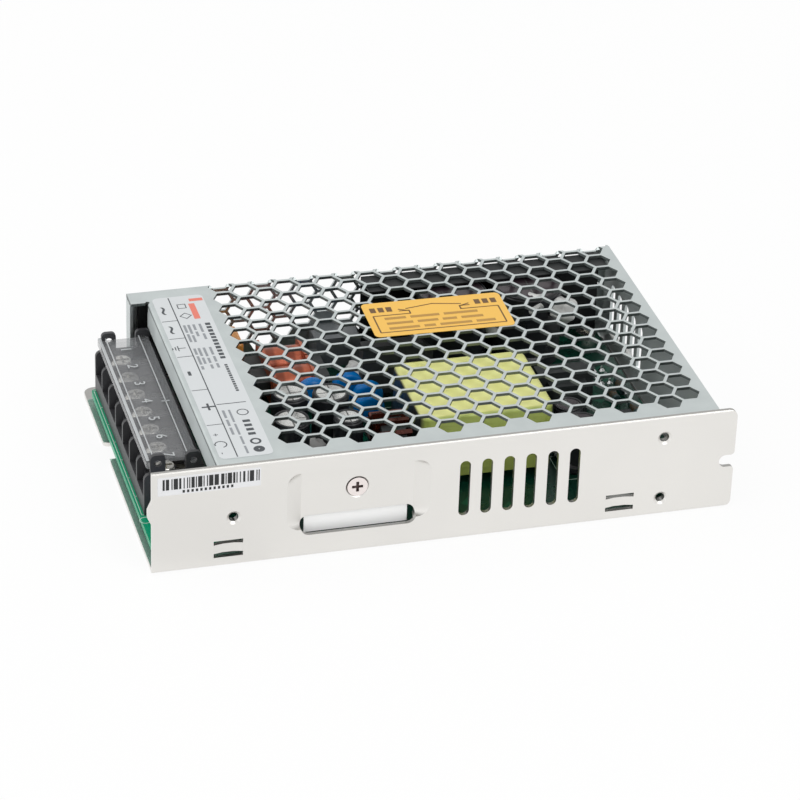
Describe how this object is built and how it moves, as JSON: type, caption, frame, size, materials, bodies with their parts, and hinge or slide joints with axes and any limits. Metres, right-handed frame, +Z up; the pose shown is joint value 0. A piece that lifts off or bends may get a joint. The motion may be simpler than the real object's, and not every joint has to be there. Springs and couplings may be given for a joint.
{
  "type": "mesh case switching power supply",
  "caption": "Low box-shaped mains power supply: folded metal chassis, hexagon-perforated cover, screw terminals under a clear hinged lid.",
  "frame": {"origin": "middle of the underside of the case's bounding box", "axes": "+X along the length, away from the terminals; +Y across the width, away from the vented side wall; +Z up through the perforated top"},
  "size_m": [0.159, 0.0971, 0.03],
  "materials": {
    "aluminium_sheet": "satin",
    "galvanised_steel": "satin",
    "screw_steel": "polished",
    "tinned_brass": "satin",
    "board_green": "glossy",
    "black_moulding": "matte",
    "clear_plastic": "glossy",
    "film_green": "glossy",
    "black_sheet": "satin",
    "white_pad": "matte",
    "label_grey": "matte",
    "sticker_yellow": "matte",
    "sticker_white": "matte",
    "copper_wire": "satin",
    "ferrite": "matte",
    "tape_yellow": "satin",
    "blue_dip": "glossy",
    "capacitor_sleeve": "glossy",
    "film_capacitor_orange": "glossy",
    "blue_moulding": "satin",
    "white_moulding": "satin",
    "red_moulding": "satin",
    "green_lamp": "glossy",
    "epoxy_black": "matte"
  },
  "bodies": {
    "case": {"chassis": "aluminium_sheet", "mesh_cover": "galvanised_steel", "clamp_screw": "screw_steel", "clamp_bar": "galvanised_steel", "insulating_pad": "white_pad", "rectifier_1": "epoxy_black", "rectifier_2": "epoxy_black", "cover_screws": "screw_steel", "insulating_film": "film_green", "circuit_board": "board_green", "board_screws": "screw_steel", "terminal_block": "black_moulding", "terminal_contacts": "tinned_brass", "trimmer_body": "blue_moulding", "led": "green_lamp", "voltage_switch_body": "epoxy_black", "fuse": "epoxy_black", "thermistor": "epoxy_black", "x_capacitor": "film_capacitor_orange", "choke_core": "ferrite", "bridge_rectifier": "epoxy_black", "transformer": "tape_yellow", "transformer_base": "black_moulding", "driver_transformer": "epoxy_black", "control_chip": "epoxy_black", "toroid_core": "ferrite", "toroid_winding": "copper_wire", "side_insulator": "black_sheet", "input_insulator": "black_sheet", "rating_label": "label_grey", "voltage_sticker": "sticker_yellow", "barcode_sticker": "sticker_white", "choke_winding_1": "copper_wire", "optocoupler_1": "epoxy_black", "bulk_capacitor_1": "capacitor_sleeve", "auxiliary_capacitor_1": "capacitor_sleeve", "choke_winding_2": "copper_wire", "optocoupler_2": "epoxy_black", "bulk_capacitor_2": "capacitor_sleeve", "auxiliary_capacitor_2": "capacitor_sleeve", "output_capacitor_1": "capacitor_sleeve", "y_capacitor_1": "blue_dip", "output_capacitor_2": "capacitor_sleeve", "y_capacitor_2": "blue_dip", "output_capacitor_3": "capacitor_sleeve", "y_capacitor_3": "blue_dip", "output_capacitor_4": "capacitor_sleeve", "y_capacitor_4": "blue_dip"},
    "terminal_lid": {"terminal_lid": "clear_plastic"},
    "trimmer_rotor": {"trimmer_rotor": "white_moulding"},
    "voltage_switch_slider": {"voltage_switch_slider": "red_moulding"},
    "terminal_screw_1": {"terminal_screw_1": "screw_steel"},
    "terminal_screw_2": {"terminal_screw_2": "screw_steel"},
    "terminal_screw_3": {"terminal_screw_3": "screw_steel"},
    "terminal_screw_4": {"terminal_screw_4": "screw_steel"},
    "terminal_screw_5": {"terminal_screw_5": "screw_steel"},
    "terminal_screw_6": {"terminal_screw_6": "screw_steel"},
    "terminal_screw_7": {"terminal_screw_7": "screw_steel"}
  },
  "joints": [
    {"name": "lid_hinge", "type": "hinge", "parent": "case", "child": "terminal_lid", "pos_m": [-0.063, 0.00595, 0.0204], "axis": [0, 1, 0], "range_deg": [0, 90]},
    {"name": "trimmer_turn", "type": "hinge", "parent": "case", "child": "trimmer_rotor", "pos_m": [-0.0735, -0.0355, 0.0095], "axis": [1, 0, 0], "range_deg": [-130, 130]},
    {"name": "voltage_select", "type": "slide", "parent": "case", "child": "voltage_switch_slider", "axis": [1, 0, 0], "range_m": [0, 0.0048]},
    {"name": "terminal_screw_1_lift", "type": "slide", "parent": "case", "child": "terminal_screw_1", "axis": [0, 0, 1], "range_m": [0, 0.0025]},
    {"name": "terminal_screw_2_lift", "type": "slide", "parent": "case", "child": "terminal_screw_2", "axis": [0, 0, 1], "range_m": [0, 0.0025]},
    {"name": "terminal_screw_3_lift", "type": "slide", "parent": "case", "child": "terminal_screw_3", "axis": [0, 0, 1], "range_m": [0, 0.0025]},
    {"name": "terminal_screw_4_lift", "type": "slide", "parent": "case", "child": "terminal_screw_4", "axis": [0, 0, 1], "range_m": [0, 0.0025]},
    {"name": "terminal_screw_5_lift", "type": "slide", "parent": "case", "child": "terminal_screw_5", "axis": [0, 0, 1], "range_m": [0, 0.0025]},
    {"name": "terminal_screw_6_lift", "type": "slide", "parent": "case", "child": "terminal_screw_6", "axis": [0, 0, 1], "range_m": [0, 0.0025]},
    {"name": "terminal_screw_7_lift", "type": "slide", "parent": "case", "child": "terminal_screw_7", "axis": [0, 0, 1], "range_m": [0, 0.0025]}
  ]
}
